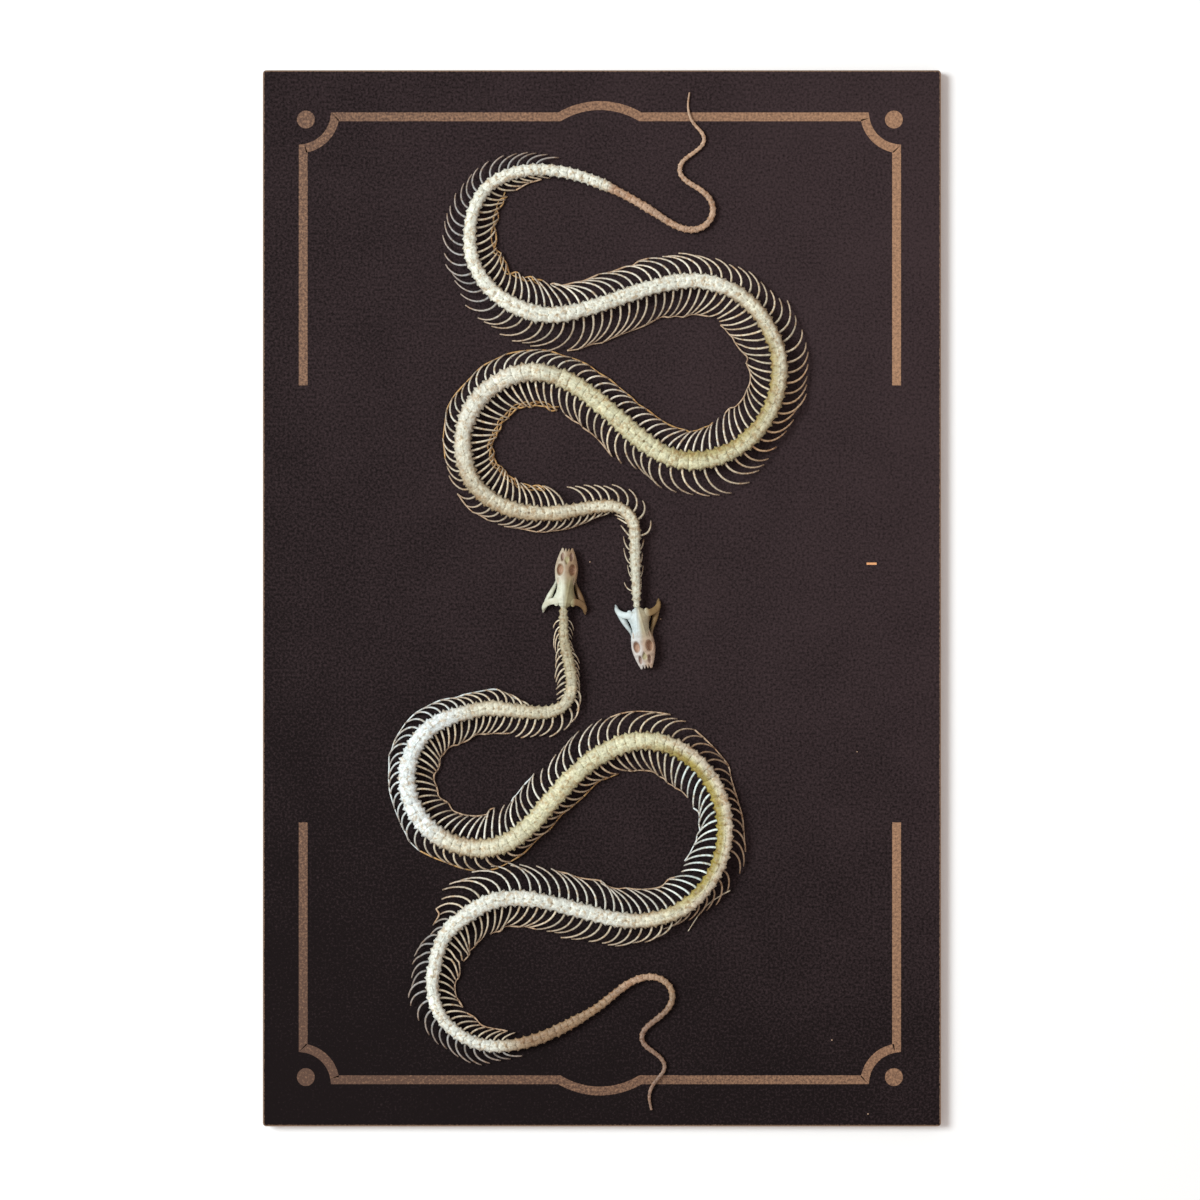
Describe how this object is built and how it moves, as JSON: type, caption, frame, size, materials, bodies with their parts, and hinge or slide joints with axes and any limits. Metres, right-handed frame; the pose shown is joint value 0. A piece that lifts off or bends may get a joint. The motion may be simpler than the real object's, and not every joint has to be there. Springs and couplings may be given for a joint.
{
  "type": "mounted snake skeletons",
  "caption": "Museum-style display board with small snake skeletons laid out in loose S curves, one of them parted into skull, jaws, neck, trunk and tail.",
  "frame": {"origin": "middle of the underside of the display board", "axes": "+X to the right and +Y to the top of the board as it is read, +Z out of its face"},
  "size_m": [0.278, 0.433, 0.0146],
  "materials": {
    "board": "matt dark brown card with a printed copper border",
    "skull_bone": "dry cream bone, satin",
    "bone": "dry ivory bone, satin",
    "tail_bone": "dry tan bone, satin"
  },
  "bodies": {
    "root": {"board": "board", "upper_cranium": "skull_bone", "upper_jaw_left": "skull_bone", "upper_jaw_right": "skull_bone", "upper_neck_left": "bone", "upper_neck_right": "bone", "upper_trunk_1_left": "bone", "upper_trunk_1_right": "bone", "upper_trunk_2_left": "bone", "upper_trunk_2_right": "bone", "upper_trunk_3_left": "bone", "upper_trunk_3_right": "bone", "upper_trunk_4_left": "bone", "upper_trunk_4_right": "bone", "upper_tail_1": "tail_bone", "upper_tail_2": "tail_bone", "lower_snake": "bone"}
  },
  "joints": []
}
